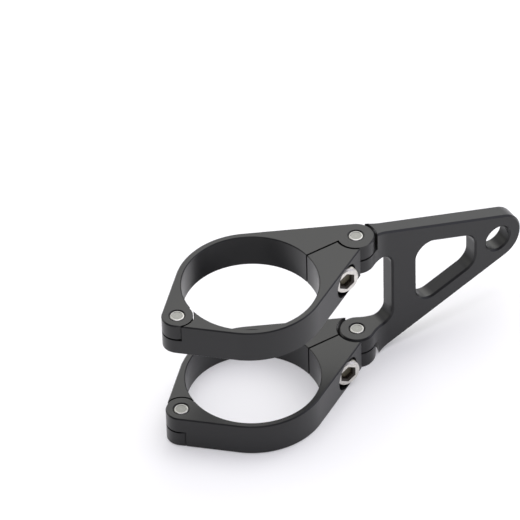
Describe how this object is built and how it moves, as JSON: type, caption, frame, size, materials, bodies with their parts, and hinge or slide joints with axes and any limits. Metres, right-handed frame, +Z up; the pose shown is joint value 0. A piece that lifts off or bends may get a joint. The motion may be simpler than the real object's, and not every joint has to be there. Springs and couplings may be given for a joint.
{
  "type": "headlight mounting bracket",
  "caption": "Motorbike headlight bracket: hinged fork-tube clamps, closed by socket screws, carry a flat triangular arm with a bolt hole at its tip.",
  "frame": {"origin": "on the fork tube's axis, at the bottom face of the lower clamp", "axes": "+Z up the fork tube, +X along the arm to its tip, the clamp jaws and their screw heads on the -Y side"},
  "size_m": [0.1266, 0.045, 0.0486],
  "materials": {
    "anodised_aluminium": "satin black anodised",
    "pin_steel": "turned and polished stainless steel",
    "screw_steel": "bright stainless steel"
  },
  "bodies": {
    "arm": {"arm": "anodised_aluminium"},
    "upper_clamp": {"upper_clamp_body": "anodised_aluminium", "upper_jaw_pin": "pin_steel", "upper_arm_pin": "pin_steel"},
    "upper_jaw": {"upper_clamp_jaw": "anodised_aluminium", "upper_screw": "screw_steel"},
    "lower_clamp": {"lower_clamp_body": "anodised_aluminium", "lower_jaw_pin": "pin_steel", "lower_arm_pin": "pin_steel"},
    "lower_jaw": {"lower_clamp_jaw": "anodised_aluminium", "lower_screw": "screw_steel"}
  },
  "joints": [
    {"name": "upper_clamp_swing", "type": "hinge", "parent": "arm", "child": "upper_clamp", "pos_m": [0.0376, 0, 0.0431], "axis": [0, 0, 1], "range_deg": [-45, 45]},
    {"name": "lower_clamp_swing", "type": "hinge", "parent": "arm", "child": "lower_clamp", "pos_m": [0.0376, 0, 0.0055], "axis": [0, 0, 1], "range_deg": [-45, 45]},
    {"name": "upper_jaw_open", "type": "hinge", "parent": "upper_clamp", "child": "upper_jaw", "pos_m": [-0.0256, 0, 0.0431], "axis": [0, 0, -1], "range_deg": [0, 100]},
    {"name": "lower_jaw_open", "type": "hinge", "parent": "lower_clamp", "child": "lower_jaw", "pos_m": [-0.0256, 0, 0.0055], "axis": [0, 0, -1], "range_deg": [0, 100]}
  ]
}
